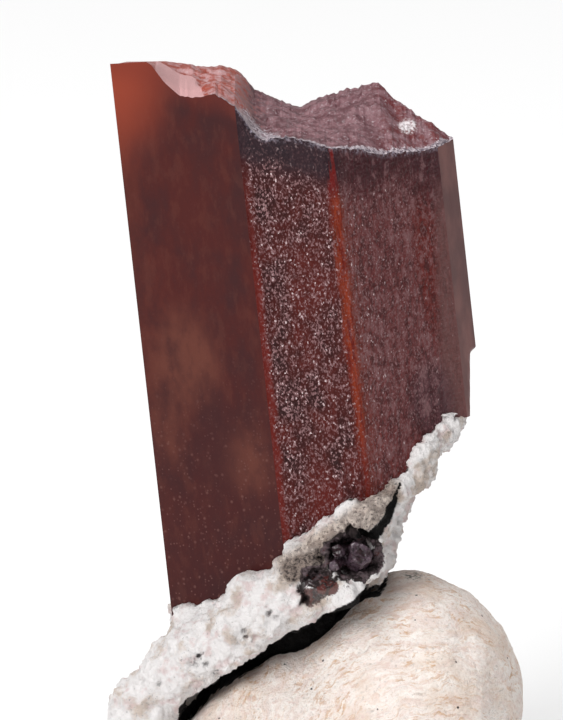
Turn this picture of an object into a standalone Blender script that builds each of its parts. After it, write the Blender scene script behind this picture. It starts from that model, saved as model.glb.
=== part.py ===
"""A topaz prism with a broken top, gripped by a white rhyolite crust that sits on a rounded rhyolite stone.

The shapes are worked out in millimetres. Each finished mesh is scaled to metres when its object is made.
The origin is on the ground under the middle of the specimen, +Z is up and the best face looks towards -Y.
"""

import math

import bmesh
import bpy
import numpy as np
from mathutils import Matrix, Vector, noise

MM = 0.001

# A cutter that fills half of space is a block this long. Points closer than CLEANUP to each other are one.
BLOCK = 60.0
CLEANUP = 0.002
SLICE_SNAP = 0.02

# How strongly the creases between fused lumps are rounded.
CREASE_FACTOR = 0.5
CREASE_PASSES = 2

# The prism's front faces from left to right: width, and how far each turns from -Y towards +X, in degrees.
# The four faces behind repeat them half a turn round, as a topaz prism's do.
FACE_WIDTHS = (6.19, 4.06, 6.86, 1.66)
FACE_TURNS = (-28.8, -10.0, 45.7, 64.5)
CRYSTAL_LEAN = 6.2
CRYSTAL_AXIS_X = 2.14

# Where crystal and crust meet, as (distance across the prism, height along it). It rises to the right.
CONTACT = (
    (-7.5, 9.8), (-5.2, 10.4), (-4.2, 11.2), (-2.1, 12.0), (-1.3, 12.9), (0.2, 13.9), (1.8, 14.8),
    (2.9, 15.1), (4.1, 16.8), (5.2, 17.8), (6.0, 18.0), (7.5, 17.7),
)
ROOT_DEPTH = 0.5
SOCKET_GAP = 0.3

# The broken top, as (distance across the prism, height along it), along its front rim and its back rim.
TOP_FRONT = (
    (-7.5, 35.15), (-5.7, 35.35), (-5.1, 34.3), (-4.5, 33.7), (-3.6, 33.6), (-2.9, 33.8), (-2.0, 33.2),
    (-1.4, 32.0), (-0.9, 31.6), (0.3, 31.6), (2.0, 31.0), (3.3, 30.5), (4.2, 30.0), (5.3, 29.8),
    (6.0, 29.6), (7.5, 29.5),
)
TOP_BACK = (
    (-7.5, 35.1), (-5.0, 34.35), (-3.6, 33.7), (-2.4, 33.3), (-1.8, 32.8), (-1.3, 32.1), (0.0, 31.4),
    (0.7, 31.1), (1.7, 31.5), (3.5, 31.95), (4.3, 32.15), (4.9, 31.5), (5.6, 30.9), (6.5, 30.3), (7.5, 29.5),
)
TOP_ROUGHNESS = 0.34
TOP_LUMP_SCALE = 0.7
TOP_GRID = 0.75

# The smooth chip in the left of the top: its middle, its radius and how deep its hollow is.
CHIP_CENTRE = (-4.3, -1.6)
CHIP_RADIUS = 2.1
CHIP_DEPTH = 0.5

# The step in the prism's right edge: how far out the edge stands below it, and its height.
EDGE_STEP_X = 7.15
EDGE_STEP_TOP = 20.6

# The crust is a core under the prism with lumps along its rim. These go by the distance across the prism:
# how far the rim stands out, how thick it is, how far it rises over the contact beside the prism, and where
# the core's underside is along the prism.
CRUST_MARGIN = ((-7.5, 0.3), (-6.7, 0.5), (-5.4, 0.85), (4.0, 0.55), (7.5, 0.5))
CRUST_THICKNESS = ((-7.5, 3.2), (5.0, 2.7), (7.5, 2.2))
CRUST_COLLAR = ((-7.5, -0.2), (-5.0, 0.1), (-3.4, 0.1), (-2.4, 0.35), (4.0, 0.25), (7.5, 0.1))
CORE_UNDERSIDE = ((-7.5, 5.0), (-2.0, 7.0), (1.5, 9.6), (2.5, 10.8), (3.2, 12.4), (5.0, 15.4), (7.5, 17.0))
CORE_INSET = 1.7
CRUST_LUMPS = 28
CRUST_LUMP_RADIUS = 1.1
CRUST_LUMP_SPREAD = 0.4
CRUST_UNDERCUT = 0.96

# How far to the right the rim's lumps may reach, as (height as the photograph shows it, X).
CRUST_RIGHT = ((10.5, 3.0), (12.0, 4.0), (13.2, 4.0), (14.5, 5.1), (16.1, 6.4), (17.3, 6.8), (18.0, 7.1))
VIEW_RISE = 0.21
CRUST_VOXEL = 0.5
CRUST_ROUGHNESS = 0.22
CRUST_LUMP_SCALE = 0.75

# Single lumps of the crust, as centre and radii: its foot at the left, its lower band, then its lip.
CRUST_KNOBS = (
    ((-7.65, -2.4, 4.35), (1.7, 2.6, 1.85)),
    ((-7.3, -2.2, 1.4), (1.9, 2.6, 2.3)),
    ((-5.9, 0.6, 3.2), (1.7, 2.6, 3.3)),
    ((-6.2, -3.0, 6.6), (1.5, 2.0, 1.6)),
    ((-4.9, -3.8, 7.6), (1.5, 1.9, 1.55)),
    ((-3.4, -4.3, 8.75), (1.5, 1.9, 1.5)),
    ((-2.1, -4.6, 9.7), (1.4, 1.7, 1.4)),
    ((-3.0, -4.4, 10.8), (0.8, 0.8, 0.7)),
    ((-1.4, -5.4, 11.0), (0.8, 0.9, 0.7)),
    ((-0.5, -4.8, 10.5), (1.3, 1.5, 1.1)),
    ((1.2, -4.9, 10.9), (1.4, 1.4, 0.75)),
    ((2.4, -4.2, 11.6), (1.0, 1.4, 0.8)),
    ((-0.5, -5.1, 12.3), (0.8, 0.9, 0.7)),
    ((0.8, -5.2, 13.4), (0.8, 0.8, 0.65)),
    ((2.0, -5.3, 14.1), (0.8, 0.8, 0.6)),
    ((3.0, -4.9, 14.8), (0.6, 0.7, 0.65)),
    ((2.7, -1.6, 12.0), (1.2, 1.6, 1.6)),
    ((4.3, -2.4, 15.6), (0.8, 1.0, 1.2)),
)

# The pocket in the crust under the prism, as the centre and radii of each hollow, and what lines it.
POCKET_HOLLOWS = (
    ((1.95, -5.9, 12.4), (1.45, 2.0, 1.1)),
    ((0.3, -6.3, 11.5), (0.9, 1.4, 0.5)),
)
LINING_CENTRE = (1.9, -4.75, 12.2)
LINING_RADII = (0.9, 0.45, 0.6)

# Small prisms in the pocket, the main one first, as foot, direction, width and length.
POCKET_PRISMS = (
    ((2.0, -4.8, 12.0), (0.15, -0.85, 0.40), 1.05, 1.15),
    ((1.4, -4.8, 12.5), (-0.25, -1.0, 0.20), 0.60, 1.00),
    ((1.35, -4.8, 12.1), (-0.30, -1.0, -0.05), 0.54, 1.15),
    ((2.0, -4.8, 12.75), (-0.05, -1.0, 0.15), 0.46, 0.90),
)
PRISM_TIP = 0.3

# The stone, as the centre, radii and tilt towards -X in degrees of each dome.
STONE_DOMES = (
    ((4.5, -0.4, 4.3), (5.3, 6.5, 6.45), 0.0),
    ((1.0, -0.6, 1.8), (7.2, 6.0, 5.8), 27.0),
    ((-0.3, 2.4, 2.8), (6.8, 3.8, 6.6), 25.0),
    ((-1.0, -2.5, 0.9), (5.8, 4.2, 6.1), 0.0),
)
STONE_VOXEL = 0.85
STONE_ROUGHNESS = 0.15
STONE_LUMP_SCALE = 0.35

# The plane that cuts the stone flat under the crust: a point on it, and its normal, which points into the crust.
CREVICE_POINT = (-4.4, 0.0, 5.9)
CREVICE_NORMAL = (-0.53, -0.05, 0.85)
CREVICE_GAP = 0.32

# The open crevice at the front, between the stone and the crust's underside: the plane of its roof, how far
# back it reaches, and its left end, where the crust's foot begins.
ROOF_POINT = (-4.4, 0.0, 6.6)
ROOF_NORMAL = (-0.57, -0.05, 0.82)
CREVICE_BACK_Y = -2.3
CREVICE_LEFT_X = -5.9


def prism_section(grow=0.0):
    """Corners of the eight-sided section, going round from the left edge past the front, each moved out by grow."""
    turns = [math.radians(turn) for turn in FACE_TURNS]
    turns += [turn + math.pi for turn in turns]
    corner = Vector((0.0, 0.0))
    corners = []
    for turn, width in zip(turns, FACE_WIDTHS * 2):
        corners.append(corner.copy())
        corner += Vector((math.cos(turn), math.sin(turn))) * width
    middle = (corners[0] + corners[4]) / 2
    grown = []
    for index, corner in enumerate(corners):
        before = Vector((math.sin(turns[index - 1]), -math.cos(turns[index - 1])))
        after = Vector((math.sin(turns[index]), -math.cos(turns[index])))
        grown.append(corner - middle + (before + after) * grow / (1 + before.dot(after)))
    return grown


def crystal_matrix():
    """Carries a point given across, in depth and along the prism to where it stands."""
    lean = math.radians(CRYSTAL_LEAN)
    return Matrix.Translation((CRYSTAL_AXIS_X, 0, 0)) @ Matrix.Rotation(-lean, 4, "Y")


def profile(points, across):
    """Reads a profile at a distance across the prism."""
    return float(np.interp(across, *zip(*points)))


def contact_height(across):
    return profile(CONTACT, across)


def depth_share(across, depth):
    """0 at the prism's front faces and 1 at its back faces."""
    corners = prism_section()
    front = np.interp(across, [c.x for c in corners[:5]], [c.y for c in corners[:5]])
    back = np.interp(across, [c.x for c in corners[5:][::-1]], [c.y for c in corners[5:][::-1]])
    return min(max((depth - front) / max(back - front, 0.1), 0.0), 1.0)


def top_height(across, depth):
    """Height of the broken top: its two rims joined, with lumps, and with a smooth chip at the left."""
    front = profile(TOP_FRONT, across)
    back = profile(TOP_BACK, across)
    share = depth_share(across, depth)
    height = front + (back - front) * share
    away = (Vector((across, depth)) - Vector(CHIP_CENTRE)).length / CHIP_RADIUS
    in_chip = max(0.0, 1.0 - away * away)
    inside = math.sin(math.pi * share)
    lumps = noise.fractal(Vector((across, depth, 3.0)) * TOP_LUMP_SCALE, 0.9, 2.0, 3)
    return height + TOP_ROUGHNESS * lumps * inside * (1 - in_chip) - CHIP_DEPTH * in_chip * inside


def root_height(across, depth):
    return contact_height(across) - ROOT_DEPTH


def prism_mesh(corners, bottom, top, uneven_top=False):
    """A prism on the section's corners, whose ends follow the heights bottom and top, in its own place."""
    shape = bmesh.new()
    ring = [shape.verts.new((corner.x, corner.y, 0.0)) for corner in corners]
    raised = bmesh.ops.extrude_face_region(shape, geom=[shape.faces.new(ring)])["geom"]
    lid = [item for item in raised if isinstance(item, bmesh.types.BMVert)]
    bmesh.ops.translate(shape, verts=lid, vec=(0, 0, 1))
    slice_prism(shape, 0, max(corner.x for corner in corners), False)
    if uneven_top:
        slice_prism(shape, 1, max(corner.y for corner in corners), True)
    for vert in shape.verts:
        height = top if vert.co.z > 0.5 else bottom
        vert.co.z = height(vert.co.x, vert.co.y)
    shape.transform(crystal_matrix())
    bmesh.ops.recalc_face_normals(shape, faces=shape.faces)
    return shape


def slice_prism(shape, axis, reach, lid_only):
    """Cuts the prism, or only its lid, by parallel planes across one axis, so that its ends can be uneven."""
    normal = Vector((1, 0, 0)) if axis == 0 else Vector((0, 1, 0))
    for step in range(1, int(2 * reach / TOP_GRID)):
        faces = [face for face in shape.faces if not lid_only or min(v.co.z for v in face.verts) > 0.5]
        around = {item for face in faces for item in (*face.verts, *face.edges)}
        bmesh.ops.bisect_plane(
            shape,
            geom=[*faces, *around],
            dist=SLICE_SNAP,
            plane_co=normal * (step * TOP_GRID - reach),
            plane_no=normal,
        )


def add_ellipsoid(shape, centre, radii, tilt=0.0):
    place = Matrix.Translation(centre) @ Matrix.Rotation(math.radians(-tilt), 4, "Y")
    size = Matrix.Diagonal((*radii, 1.0))
    bmesh.ops.create_icosphere(shape, subdivisions=2, radius=1.0, matrix=place @ size)


def new_object(name, shape, collection):
    """Makes an object of the bmesh, still in millimetres, and frees the bmesh."""
    bmesh.ops.triangulate(shape, faces=shape.faces)
    mesh = bpy.data.meshes.new(name)
    shape.to_mesh(mesh)
    shape.free()
    piece = bpy.data.objects.new(name, mesh)
    collection.objects.link(piece)
    return piece


def new_cutter(name, shape):
    cutter = new_object(name, shape, cutters)
    cutter.hide_render = True
    cutter.display_type = "WIRE"
    return cutter


def combine(piece, other, operation):
    boolean = piece.modifiers.new(f"{operation} {other.name}".lower(), "BOOLEAN")
    boolean.operation = operation
    boolean.solver = "EXACT"
    boolean.object = other


def fuse(piece, voxel):
    """Fuses the lumps of a piece into one skin and rounds the creases between them."""
    remesh = piece.modifiers.new("fuse lumps", "REMESH")
    remesh.mode = "VOXEL"
    remesh.voxel_size = voxel
    smooth = piece.modifiers.new("round creases", "SMOOTH")
    smooth.factor = CREASE_FACTOR
    smooth.iterations = CREASE_PASSES
    apply_modifiers(piece)


def apply_modifiers(piece):
    graph = bpy.context.evaluated_depsgraph_get()
    rough = piece.data
    finished = bpy.data.meshes.new_from_object(piece.evaluated_get(graph))
    piece.modifiers.clear()
    piece.data = finished
    bpy.data.meshes.remove(rough)


def roughen(piece, amount, scale):
    """Moves each point along its normal by smooth noise, for lumps and hollows."""
    shape = bmesh.new()
    shape.from_mesh(piece.data)
    shape.normal_update()
    for vert in shape.verts:
        vert.co += vert.normal * amount * noise.fractal(vert.co * scale, 0.8, 2.0, 3)
    shape.to_mesh(piece.data)
    shape.free()


def block_below(name, point, normal):
    """A large block that fills the side of a plane that its normal points away from."""
    normal = Vector(normal).normalized()
    turn = normal.to_track_quat("Z", "Y").to_matrix().to_4x4()
    place = Matrix.Translation(Vector(point) - normal * BLOCK / 2) @ turn
    shape = bmesh.new()
    bmesh.ops.create_cube(shape, size=BLOCK, matrix=place)
    return new_cutter(name, shape)


def drop_crumbs(shape):
    """Keeps the largest of the bodies that the cuts left, and deletes the crumbs beside it."""
    bodies = []
    left = set(shape.faces)
    while left:
        body = set()
        reached = [left.pop()]
        while reached:
            face = reached.pop()
            body.add(face)
            beside = {other for edge in face.edges for other in edge.link_faces} & left
            left -= beside
            reached.extend(beside)
        bodies.append(body)
    bodies.sort(key=len)
    for body in bodies[:-1]:
        bmesh.ops.delete(shape, geom=list(body), context="FACES")


def finish(piece, material):
    """Merges what the cuts left doubled, scales the mesh to metres and gives it its material."""
    apply_modifiers(piece)
    shape = bmesh.new()
    shape.from_mesh(piece.data)
    drop_crumbs(shape)
    bmesh.ops.remove_doubles(shape, verts=shape.verts, dist=CLEANUP)
    bmesh.ops.dissolve_degenerate(shape, edges=shape.edges, dist=CLEANUP)
    bmesh.ops.triangulate(shape, faces=shape.faces)
    shape.transform(Matrix.Scale(MM, 4))
    shape.to_mesh(piece.data)
    shape.free()
    piece.data.materials.clear()
    piece.data.materials.append(material)


def plain_material(name, colour, roughness):
    material = bpy.data.materials.new(name)
    material.use_nodes = True
    shader = material.node_tree.nodes["Principled BSDF"]
    shader.inputs["Base Color"].default_value = (*colour, 1.0)
    shader.inputs["Roughness"].default_value = roughness
    shader.inputs["Metallic"].default_value = 0.0
    material.diffuse_color = (*colour, 1.0)
    return material


def make_crystal():
    shape = prism_mesh(prism_section(), root_height, top_height, uneven_top=True)
    piece = new_object("topaz_crystal", shape, specimen)
    step = bmesh.new()
    size = 2 * EDGE_STEP_TOP
    place = Matrix.Translation((EDGE_STEP_X + size / 2, 0, EDGE_STEP_TOP - size / 2))
    bmesh.ops.create_cube(step, size=size, matrix=place)
    combine(piece, new_cutter("edge step", step), "DIFFERENCE")
    return piece


def make_socket():
    """The room that the crust leaves for the crystal's lower end."""
    shape = prism_mesh(
        prism_section(SOCKET_GAP),
        lambda across, depth: root_height(across, depth) - SOCKET_GAP,
        lambda across, depth: TOP_FRONT[0][1],
    )
    return new_cutter("socket", shape)


def add_rim_lumps(shape):
    """Two rows of lumps along the crust's rim, one at its upper edge and one at its lower edge."""
    place = crystal_matrix()
    rim = prism_section()
    for index in range(CRUST_LUMPS):
        along = index * len(rim) / CRUST_LUMPS
        corner, share = int(along), along % 1
        spot = rim[corner].lerp(rim[(corner + 1) % len(rim)], share)
        swell = noise.noise(Vector((index * 1.7, 5.0, 0.5)))
        radius = CRUST_LUMP_RADIUS * (1 + CRUST_LUMP_SPREAD * swell)
        inset = radius - profile(CRUST_MARGIN, spot.x)
        centre = spot * (1 - inset / spot.length)
        contact = contact_height(centre.x)
        beside = math.sqrt(max(radius ** 2 - (inset + SOCKET_GAP) ** 2, 0.0))
        upper = contact + profile(CRUST_COLLAR, spot.x) - beside
        lower = contact + radius - profile(CRUST_THICKNESS, spot.x)
        for point in (Vector((*centre, upper)), Vector((*centre * CRUST_UNDERCUT, lower))):
            middle = place @ point
            reach = profile(CRUST_RIGHT, middle.z + VIEW_RISE * middle.y)
            middle.x = min(middle.x, reach - radius)
            add_ellipsoid(shape, middle, (radius, radius, radius))


def make_crust(socket, room, ground):
    shape = prism_mesh(
        prism_section(-CORE_INSET),
        lambda across, depth: profile(CORE_UNDERSIDE, across),
        lambda across, depth: contact_height(across),
    )
    add_rim_lumps(shape)
    for centre, radii in CRUST_KNOBS:
        add_ellipsoid(shape, centre, radii)
    piece = new_object("matrix_crust", shape, specimen)
    fuse(piece, CRUST_VOXEL)
    roughen(piece, CRUST_ROUGHNESS, CRUST_LUMP_SCALE)
    combine(piece, socket, "DIFFERENCE")
    for index, (centre, radii) in enumerate(POCKET_HOLLOWS):
        hollow = bmesh.new()
        add_ellipsoid(hollow, centre, radii)
        combine(piece, new_cutter(f"hollow {index}", hollow), "DIFFERENCE")
    combine(piece, make_crevice(), "DIFFERENCE")
    combine(piece, room, "DIFFERENCE")
    combine(piece, ground, "DIFFERENCE")
    return piece


def make_crevice():
    """The open space at the front under the crust, to the right of its foot."""
    shape = bmesh.new()
    middle = Vector((CREVICE_LEFT_X + BLOCK / 2, CREVICE_BACK_Y - BLOCK / 2, 0))
    bmesh.ops.create_cube(shape, size=BLOCK, matrix=Matrix.Translation(middle))
    crevice = new_cutter("crevice", shape)
    combine(crevice, block_below("crevice roof", ROOF_POINT, ROOF_NORMAL), "INTERSECT")
    return crevice


def make_pocket_crystals():
    shape = bmesh.new()
    add_ellipsoid(shape, LINING_CENTRE, LINING_RADII)
    piece = new_object("pocket_crystals", shape, specimen)
    for index, (foot, direction, width, length) in enumerate(POCKET_PRISMS):
        axis = Vector(direction).normalized()
        turn = axis.to_track_quat("Z", "Y").to_matrix().to_4x4()
        prism = bmesh.new()
        bmesh.ops.create_cone(
            prism, cap_ends=True, segments=6, radius1=width / 2, radius2=width / 2, depth=length,
            matrix=Matrix.Translation((0, 0, length / 2)),
        )
        lid = max(prism.faces, key=lambda face: face.calc_center_median().z)
        tip = bmesh.ops.extrude_discrete_faces(prism, faces=[lid])["faces"][0]
        bmesh.ops.remove_doubles(prism, verts=prism.verts, dist=0.0)
        bmesh.ops.translate(prism, verts=tip.verts, vec=(0, 0, PRISM_TIP * width))
        bmesh.ops.transform(prism, matrix=Matrix.Translation(foot) @ turn, verts=prism.verts)
        combine(piece, new_cutter(f"pocket prism {index}", prism), "UNION")
    return piece


def make_stone(name, grow, collection):
    """The stone's domes, fused and cut flat under the crust, every surface moved out by grow."""
    shape = bmesh.new()
    for centre, radii, tilt in STONE_DOMES:
        add_ellipsoid(shape, centre, [radius + grow for radius in radii], tilt)
    piece = new_object(name, shape, collection)
    fuse(piece, STONE_VOXEL)
    roughen(piece, STONE_ROUGHNESS, STONE_LUMP_SCALE)
    normal = Vector(CREVICE_NORMAL).normalized()
    point = Vector(CREVICE_POINT) + normal * grow
    combine(piece, block_below(f"{name} flank", point, normal), "INTERSECT")
    return piece


def make_stone_room():
    """The room that the crust leaves for the stone."""
    room = make_stone("stone room", CREVICE_GAP, cutters)
    room.hide_render = True
    room.display_type = "WIRE"
    return room


for old in list(bpy.data.objects):
    bpy.data.objects.remove(old)
specimen = bpy.data.collections.new("topaz crystal cluster")
cutters = bpy.data.collections.new("cutters")
bpy.context.scene.collection.children.link(specimen)
bpy.context.scene.collection.children.link(cutters)
cutters.hide_render = True

ground = block_below("ground", (0, 0, 0), (0, 0, 1))
crystal = make_crystal()
crust = make_crust(make_socket(), make_stone_room(), ground)
pocket_crystals = make_pocket_crystals()
stone = make_stone("host_stone", 0.0, specimen)
combine(stone, ground, "DIFFERENCE")

finish(crystal, plain_material("red-brown topaz", (0.09, 0.02, 0.016), 0.3))
finish(crust, plain_material("white rhyolite crust", (0.72, 0.68, 0.65), 0.9))
finish(pocket_crystals, plain_material("dark red topaz", (0.04, 0.005, 0.008), 0.2))
finish(stone, plain_material("beige rhyolite", (0.68, 0.58, 0.51), 0.85))
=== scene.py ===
import math

import bmesh
import bpy
import numpy as np
from mathutils import Matrix, Vector, noise
from mathutils.bvhtree import BVHTree


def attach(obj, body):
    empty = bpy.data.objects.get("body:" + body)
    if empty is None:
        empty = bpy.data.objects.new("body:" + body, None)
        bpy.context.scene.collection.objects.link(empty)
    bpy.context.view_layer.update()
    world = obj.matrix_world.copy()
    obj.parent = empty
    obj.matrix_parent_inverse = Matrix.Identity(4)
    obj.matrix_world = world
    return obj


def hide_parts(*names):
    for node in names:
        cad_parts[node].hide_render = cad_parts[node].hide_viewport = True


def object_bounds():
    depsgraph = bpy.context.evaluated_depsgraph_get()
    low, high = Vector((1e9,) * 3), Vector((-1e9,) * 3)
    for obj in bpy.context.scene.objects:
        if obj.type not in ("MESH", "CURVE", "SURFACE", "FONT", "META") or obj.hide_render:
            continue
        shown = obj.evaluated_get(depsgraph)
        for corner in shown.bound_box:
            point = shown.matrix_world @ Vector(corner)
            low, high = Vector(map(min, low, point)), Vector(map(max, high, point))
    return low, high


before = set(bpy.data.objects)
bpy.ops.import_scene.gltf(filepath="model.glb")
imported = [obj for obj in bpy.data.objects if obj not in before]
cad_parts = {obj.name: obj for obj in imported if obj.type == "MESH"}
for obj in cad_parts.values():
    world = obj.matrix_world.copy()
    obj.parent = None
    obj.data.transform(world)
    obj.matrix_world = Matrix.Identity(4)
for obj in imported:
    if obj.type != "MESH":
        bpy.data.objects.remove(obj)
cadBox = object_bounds()
print("frame loaded")

mm = 0.001


def tone(red, green, blue):  # a colour as seen on screen, 0 to 255, made linear
    shares = (channel / 255 for channel in (red, green, blue))
    linear = [share / 12.92 if share <= 0.04045 else ((share + 0.055) / 1.055) ** 2.4 for share in shares]
    return (*linear, 1.0)


def readProfile(points, across):
    return float(np.interp(across, *zip(*points)))


def smoothStep(low, high, value):
    share = min(max((value - low) / (high - low), 0.0), 1.0)
    return share * share * (3 - 2 * share)


# the node helpers are methods of one finish, so that each material below reads as a recipe, in millimetres
class Finish:
    def __init__(self, name, roughness=0.5, specular=0.5):
        self.material = bpy.data.materials.new(name)
        self.material.use_nodes = True
        self.nodes = self.material.node_tree.nodes
        self.links = self.material.node_tree.links
        self.shader = self.nodes["Principled BSDF"]
        self.shader.inputs["Roughness"].default_value = roughness
        self.shader.inputs["Specular IOR Level"].default_value = specular
        source = self.nodes.new("ShaderNodeTexCoord").outputs["Object"]
        self.millimetres = self.placed(source, scale=(1000, 1000, 1000))

    def node(self, kind, inputs=None, **settings):
        made = self.nodes.new(kind)
        for name, value in settings.items():
            setattr(made, name, value)
        for name, value in (inputs or {}).items():
            self.feed(made.inputs[name], value)
        return made

    def feed(self, socket, value):
        if isinstance(value, bpy.types.NodeSocket):
            self.links.new(value, socket)
        elif value is not None:
            socket.default_value = value

    def placed(self, vector, location=(0, 0, 0), turn=(0, 0, 0), scale=(1, 1, 1)):
        inputs = {"Vector": vector, "Location": location, "Rotation": turn, "Scale": scale}
        return self.node("ShaderNodeMapping", inputs).outputs["Vector"]

    def blob(self, centre, radii, vector=None):  # 1 in the middle, 0 from the radii outwards
        spot = self.node("ShaderNodeMapping", vector_type="TEXTURE")
        self.feed(spot.inputs["Vector"], vector or self.millimetres)
        spot.inputs["Location"].default_value = centre
        spot.inputs["Scale"].default_value = radii
        return self.node("ShaderNodeTexGradient", {"Vector": spot.outputs["Vector"]},
                         gradient_type="SPHERICAL").outputs["Fac"]

    def grain(self, size, detail=2.0, rough=0.5, vector=None, stretch=(1, 1, 1)):
        where = self.placed(vector or self.millimetres, scale=[1 / (size * way) for way in stretch])
        inputs = {"Vector": where, "Scale": 1.0, "Detail": detail, "Roughness": rough}
        return self.node("ShaderNodeTexNoise", inputs).outputs["Fac"]

    def cells(self, size, vector=None, stretch=(1, 1, 1), output="Color"):
        where = self.placed(vector or self.millimetres, scale=[1 / (size * way) for way in stretch])
        return self.node("ShaderNodeTexVoronoi", {"Vector": where, "Scale": 1.0}).outputs[output]

    def lots(self, size, vector=None, stretch=(1, 1, 1)):  # one random number for each cell
        colour = self.cells(size, vector, stretch)
        return self.node("ShaderNodeSeparateColor", {"Color": colour}).outputs["Red"]

    def ramp(self, value, low, high, start=0.0, end=1.0):
        inputs = {"Value": value, "From Min": low, "From Max": high, "To Min": start, "To Max": end}
        return self.node("ShaderNodeMapRange", inputs, interpolation_type="SMOOTHSTEP").outputs["Result"]

    def sums(self, operation, first, second=0.0):
        made = self.node("ShaderNodeMath", operation=operation)
        self.feed(made.inputs[0], first)
        self.feed(made.inputs[1], second)
        return made.outputs["Value"]

    def times(self, first, second):
        return self.sums("MULTIPLY", first, second)

    def plus(self, first, second):
        return self.sums("ADD", first, second)

    def minus(self, first, second):
        return self.sums("SUBTRACT", first, second)

    def blend(self, share, first, second):
        made = self.node("ShaderNodeMix", data_type="RGBA")
        self.feed(made.inputs["Factor"], share)
        self.feed(made.inputs[6], first)   # sockets 6 and 7, and output 2, are the ones for colours
        self.feed(made.inputs[7], second)
        return made.outputs[2]

    def axis(self, name, vector=None):
        return self.node("ShaderNodeSeparateXYZ", {"Vector": vector or self.millimetres}).outputs[name]

    def mark(self, name):
        return self.node("ShaderNodeAttribute", attribute_name=name).outputs["Fac"]

    def bump(self, height, depth, strength=1.0):
        inputs = {"Height": height, "Distance": depth * mm, "Strength": strength}
        made = self.node("ShaderNodeBump", inputs)
        self.feed(self.shader.inputs["Normal"], made.outputs["Normal"])

    def paint(self, colour):
        self.feed(self.shader.inputs["Base Color"], colour)
        return self.material


def showPiece(piece, node):
    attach(piece, "root")
    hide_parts(node)


def newPiece(name, shape):  # a mesh object from a bmesh in millimetres, kept inside the solids' box
    low, high = (Vector(corner) / mm for corner in cadBox)
    for vert in shape.verts:
        vert.co = [min(max(vert.co[axis], low[axis]), high[axis]) for axis in range(3)]
    shape.transform(Matrix.Scale(mm, 4))
    mesh = bpy.data.meshes.new(name)
    shape.to_mesh(mesh)
    shape.free()
    piece = bpy.data.objects.new(name, mesh)
    bpy.context.scene.collection.objects.link(piece)
    print(name, len(mesh.polygons), "faces")
    return piece


# the prism's own directions: across, deep and along it, all in millimetres
prism = {
    "faceWidths": (6.19, 4.06, 6.86, 1.66),  # of the four front faces, from left to right
    "faceTurns": (-28.8, -10.0, 45.7, 64.5),
    "lean": math.radians(6.2),
    "axisX": 2.14,           # where its axis meets the ground
    "contact": (             # where its front meets the crust, as points across and along it
        (-7.5, 9.8), (-5.2, 10.4), (-4.2, 11.2), (-2.1, 12.0), (-1.3, 12.9), (0.2, 13.9), (1.8, 14.8),
        (2.9, 15.1), (4.1, 16.8), (5.2, 17.8), (6.0, 18.0), (7.5, 17.7),
    ),
    "rootDepth": 0.85,       # how far it reaches down into the crust, past the seam
    "shade": 0.1,            # darkens the prism's paints all alike
    "topFront": (            # the front rim of the top, as points across and along the prism
        (-7.5, 35.15), (-5.8, 35.25), (-5.6, 35.1), (-5.1, 34.3), (-4.5, 33.7), (-3.6, 33.6),
        (-2.9, 33.8), (-2.0, 33.2), (-1.4, 32.0), (-0.9, 31.6), (0.3, 31.6), (2.0, 31.0), (3.3, 30.5),
        (4.2, 30.0), (5.3, 29.8), (6.0, 29.6), (7.5, 29.5),
    ),
    "topBack": (             # and the back rim
        (-7.5, 35.1), (-5.0, 34.35), (-3.6, 33.7), (-2.4, 33.3), (-1.8, 32.8), (-1.3, 32.1), (0.0, 31.4),
        (0.7, 31.1), (1.7, 31.5), (3.5, 31.95), (4.3, 32.15), (4.9, 31.5), (5.6, 30.9), (6.5, 30.3),
        (7.5, 29.5),
    ),
    "chipLeft": -5.6,        # the clean chip reaches between these two, and this far back from the rim
    "chipRight": -3.2,
    "chipReach": 3.6,
    "chipRise": 0.12,
    "stepX": 7.15,           # below its step the right edge is cut upright, at this X
    "stepTop": 20.6,
    "stepHeight": 0.3,
    "streakHalf": 0.2,       # half the width of the narrow face between the two frosted ones
    "columnStep": 0.085,
    "plainColumns": 0.75,    # the share of them that the smooth left face gets
    "rows": 200,
    "depthRows": 84,
    "weld": 0.004,           # points nearer than this become one
    "crease": math.radians(12),
    "frostDepth": 0.035,
    "striationDepth": 0.02,
    "topRoughness": 0.36,
    "rimCrumble": 0.15,
    "rimReach": 0.75,        # how far behind the rim its crumbs lie
}
smoothFace, frostedFace, brokenFace = range(3)  # the order of the prism's materials


def prismCorners():
    turns = [math.radians(turn) for turn in prism["faceTurns"]]
    turns += [turn + math.pi for turn in turns]
    corner = Vector((0.0, 0.0))
    corners = []
    for turn, width in zip(turns, prism["faceWidths"] * 2):
        corners.append(corner.copy())
        corner += Vector((math.cos(turn), math.sin(turn))) * width
    middle = (corners[0] + corners[4]) / 2
    return [corner - middle for corner in corners]


corners = prismCorners()
frontLine = [(corner.x, corner.y) for corner in corners[:5]]
backLine = [(corner.x, corner.y) for corner in corners[5:]] + [(corners[0].x, corners[0].y)]
backLine = sorted(backLine + [(corners[4].x, corners[4].y)])
standing = Matrix.Translation((prism["axisX"], 0, 0)) @ Matrix.Rotation(-prism["lean"], 4, "Y")


def frontDepth(across):
    edge = corners[2].x  # the narrow face cuts the corner off between the frosted faces
    half = prism["streakHalf"]
    if abs(across - edge) >= half:
        return readProfile(frontLine, across)
    before = readProfile(frontLine, edge - half)
    after = readProfile(frontLine, edge + half)
    return before + (after - before) * (across - edge + half) / (2 * half)


def backDepth(across):
    return readProfile(backLine, across)


def rimNotch(across, seed):  # small bites out of a rim, none in the clean edge at the left
    coarse = noise.noise(Vector((across * 1.9, seed, 0.3)))
    fine = noise.noise(Vector((across * 6.0, seed, 4.1)))
    return prism["rimCrumble"] * (0.6 * coarse + 0.7 * fine - 0.1) * smoothStep(-5.2, -3.2, across)


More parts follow.
